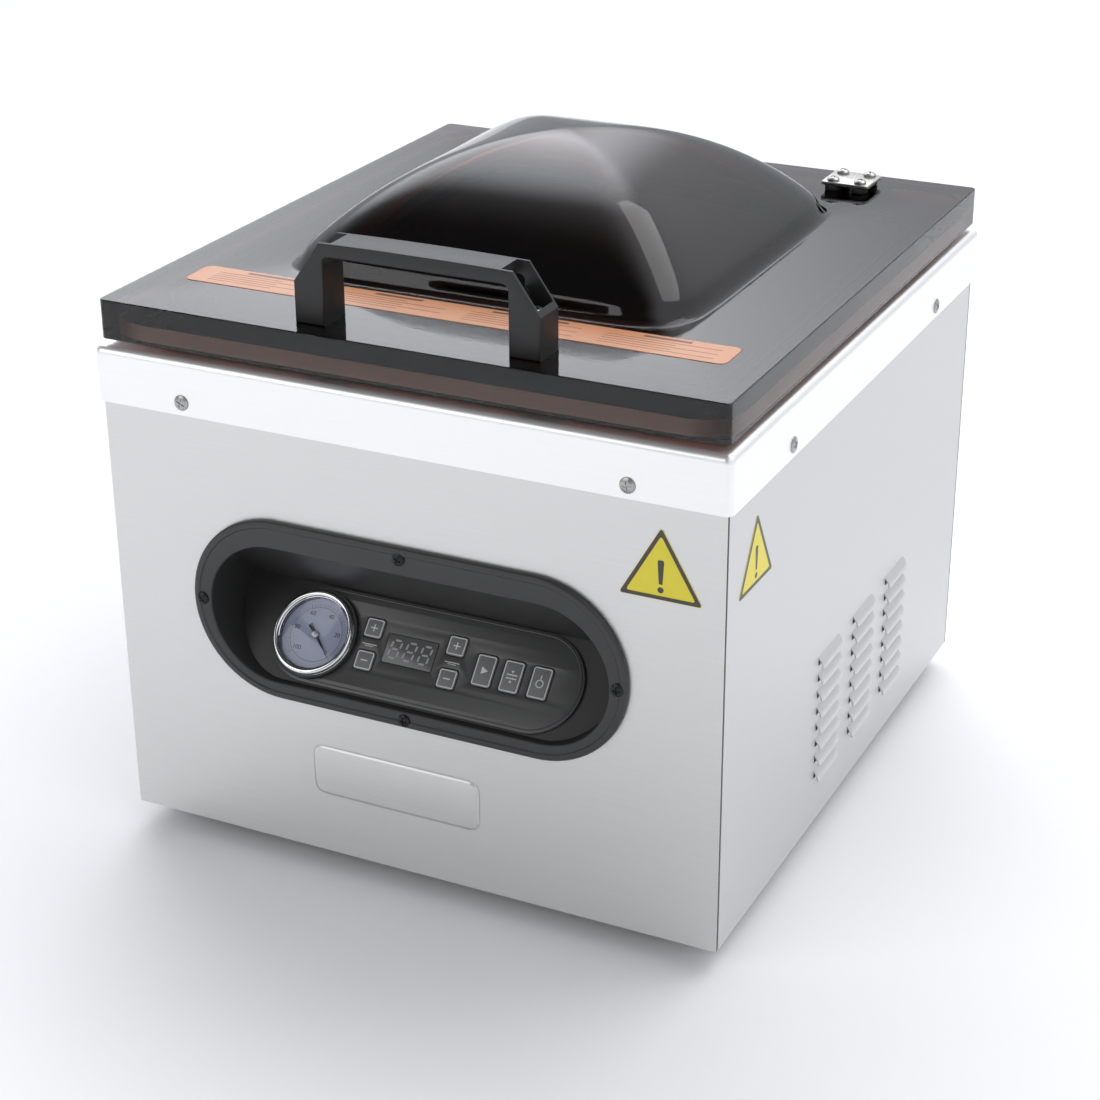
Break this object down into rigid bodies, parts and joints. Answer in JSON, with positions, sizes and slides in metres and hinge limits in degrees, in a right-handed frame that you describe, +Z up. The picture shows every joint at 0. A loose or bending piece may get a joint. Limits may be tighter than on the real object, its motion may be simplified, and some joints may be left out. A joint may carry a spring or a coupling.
{
  "type": "vacuum chamber sealer",
  "caption": "Countertop vacuum chamber sealer with a steel casing, domed acrylic lid on rear hinges, rising seal bar, recessed key panel and vacuum gauge.",
  "frame": {"origin": "on the floor, under the middle of the object's box, within a few millimetres of the casing's middle", "axes": "+X to the right seen from the front, +Y to the rear, +Z up"},
  "size_m": [0.3352, 0.3723, 0.35],
  "materials": {
    "brushed_steel_sheet": "satin",
    "deck_steel": "satin",
    "chamber_steel": "satin",
    "screw_steel": "satin",
    "hinge_steel": "satin",
    "black_rubber": "matte",
    "white_plastic": "matte",
    "brass": "satin",
    "bare_aluminium": "satin",
    "bezel_plastic": "satin",
    "black_screw_steel": "satin",
    "panel_overlay": "satin",
    "display_lens": "gloss",
    "circuit_board": "satin",
    "gauge_case_black": "satin",
    "gauge_chrome": "polished",
    "gauge_dial_white": "matte",
    "gauge_glass": "gloss",
    "motor_enamel": "satin",
    "rotor_steel": "satin",
    "winding_core": "satin",
    "valve_plastic": "satin",
    "hose_silicone": "satin",
    "cable_sheath": "matte",
    "caution_yellow": "satin",
    "smoked_acrylic": "gloss",
    "gasket_silicone": "matte",
    "label_orange": "satin",
    "handle_nylon": "satin",
    "tape_tan": "satin",
    "key_grey": "satin"
  },
  "bodies": {
    "casing": {"base_plate": "brushed_steel_sheet", "front_panel": "brushed_steel_sheet", "rear_panel": "brushed_steel_sheet", "left_side_panel": "brushed_steel_sheet", "right_side_panel": "brushed_steel_sheet", "rubber_feet": "black_rubber", "foot_screws": "screw_steel", "deck": "deck_steel", "deck_screws": "screw_steel", "chamber_tub": "chamber_steel", "filler_plates": "white_plastic", "suction_fitting": "brass", "lift_cylinders": "bare_aluminium", "control_bezel": "bezel_plastic", "bezel_screws": "black_screw_steel", "control_plate": "panel_overlay", "display_window": "display_lens", "control_board": "circuit_board", "gauge_case": "gauge_case_black", "gauge_ring": "gauge_chrome", "gauge_dial": "gauge_dial_white", "gauge_glass": "gauge_glass", "pump_motor": "motor_enamel", "pump_head": "bare_aluminium", "pump_mounts": "black_rubber", "transformer": "winding_core", "power_board": "circuit_board", "solenoid_valves": "valve_plastic", "air_hoses": "hose_silicone", "wiring_loom": "cable_sheath", "fan_frame": "bezel_plastic", "power_inlet": "bezel_plastic", "caution_plates": "caution_yellow", "hinge_lower_leaves": "hinge_steel", "hinge_pins": "screw_steel", "hinge_leaf_screws": "screw_steel"},
    "lid": {"lid_plate": "smoked_acrylic", "lid_dome": "smoked_acrylic", "lid_gasket": "gasket_silicone", "lid_label": "label_orange", "lid_handle": "handle_nylon", "handle_screws": "screw_steel", "counter_bar": "gasket_silicone", "hinge_upper_leaves": "hinge_steel", "hinge_clamp_plates": "hinge_steel", "hinge_washers": "black_rubber", "hinge_lid_screws": "screw_steel"},
    "seal_bar": {"seal_bar": "bare_aluminium", "heating_strip": "tape_tan", "lift_rods": "screw_steel"},
    "key_vac_plus": {"key_vac_plus": "key_grey"},
    "key_vac_minus": {"key_vac_minus": "key_grey"},
    "key_seal_plus": {"key_seal_plus": "key_grey"},
    "key_seal_minus": {"key_seal_minus": "key_grey"},
    "key_start": {"key_start": "key_grey"},
    "key_seal": {"key_seal": "key_grey"},
    "key_power": {"key_power": "key_grey"},
    "gauge_needle": {"gauge_needle": "gauge_case_black"},
    "fan_impeller": {"fan_impeller": "bezel_plastic"},
    "pump_rotor": {"pump_rotor": "rotor_steel"}
  },
  "joints": [
    {"name": "lid_hinge", "type": "hinge", "parent": "casing", "child": "lid", "pos_m": [0, 0.1855, 0.273], "axis": [-1, 0, 0], "range_deg": [0, 60]},
    {"name": "seal_bar_lift", "type": "slide", "parent": "casing", "child": "seal_bar", "axis": [0, 0, 1], "range_m": [0, 0.01]},
    {"name": "key_vac_plus_press", "type": "slide", "parent": "casing", "child": "key_vac_plus", "axis": [0, 0.7373, -0.6756], "range_m": [0, 0.0006], "stiffness_N_per_m": 1000},
    {"name": "key_vac_minus_press", "type": "slide", "parent": "casing", "child": "key_vac_minus", "axis": [0, 0.7373, -0.6756], "range_m": [0, 0.0006], "stiffness_N_per_m": 1000},
    {"name": "key_seal_plus_press", "type": "slide", "parent": "casing", "child": "key_seal_plus", "axis": [0, 0.7373, -0.6756], "range_m": [0, 0.0006], "stiffness_N_per_m": 1000},
    {"name": "key_seal_minus_press", "type": "slide", "parent": "casing", "child": "key_seal_minus", "axis": [0, 0.7373, -0.6756], "range_m": [0, 0.0006], "stiffness_N_per_m": 1000},
    {"name": "key_start_press", "type": "slide", "parent": "casing", "child": "key_start", "axis": [0, 0.7373, -0.6756], "range_m": [0, 0.0006], "stiffness_N_per_m": 1000},
    {"name": "key_seal_press", "type": "slide", "parent": "casing", "child": "key_seal", "axis": [0, 0.7373, -0.6756], "range_m": [0, 0.0006], "stiffness_N_per_m": 1000},
    {"name": "key_power_press", "type": "slide", "parent": "casing", "child": "key_power", "axis": [0, 0.7373, -0.6756], "range_m": [0, 0.0006], "stiffness_N_per_m": 1000},
    {"name": "gauge_needle_turn", "type": "hinge", "parent": "casing", "child": "gauge_needle", "pos_m": [-0.0615, -0.16231, 0.12508], "axis": [0, -0.7373, 0.6756], "range_deg": [0, 270]},
    {"name": "fan_spin", "type": "hinge", "parent": "casing", "child": "fan_impeller", "pos_m": [-0.151, 0.02, 0.076], "axis": [1, 0, 0], "continuous": true},
    {"name": "pump_spin", "type": "hinge", "parent": "casing", "child": "pump_rotor", "pos_m": [-0.03, 0.062, 0.088], "axis": [1, 0, 0], "continuous": true}
  ]
}
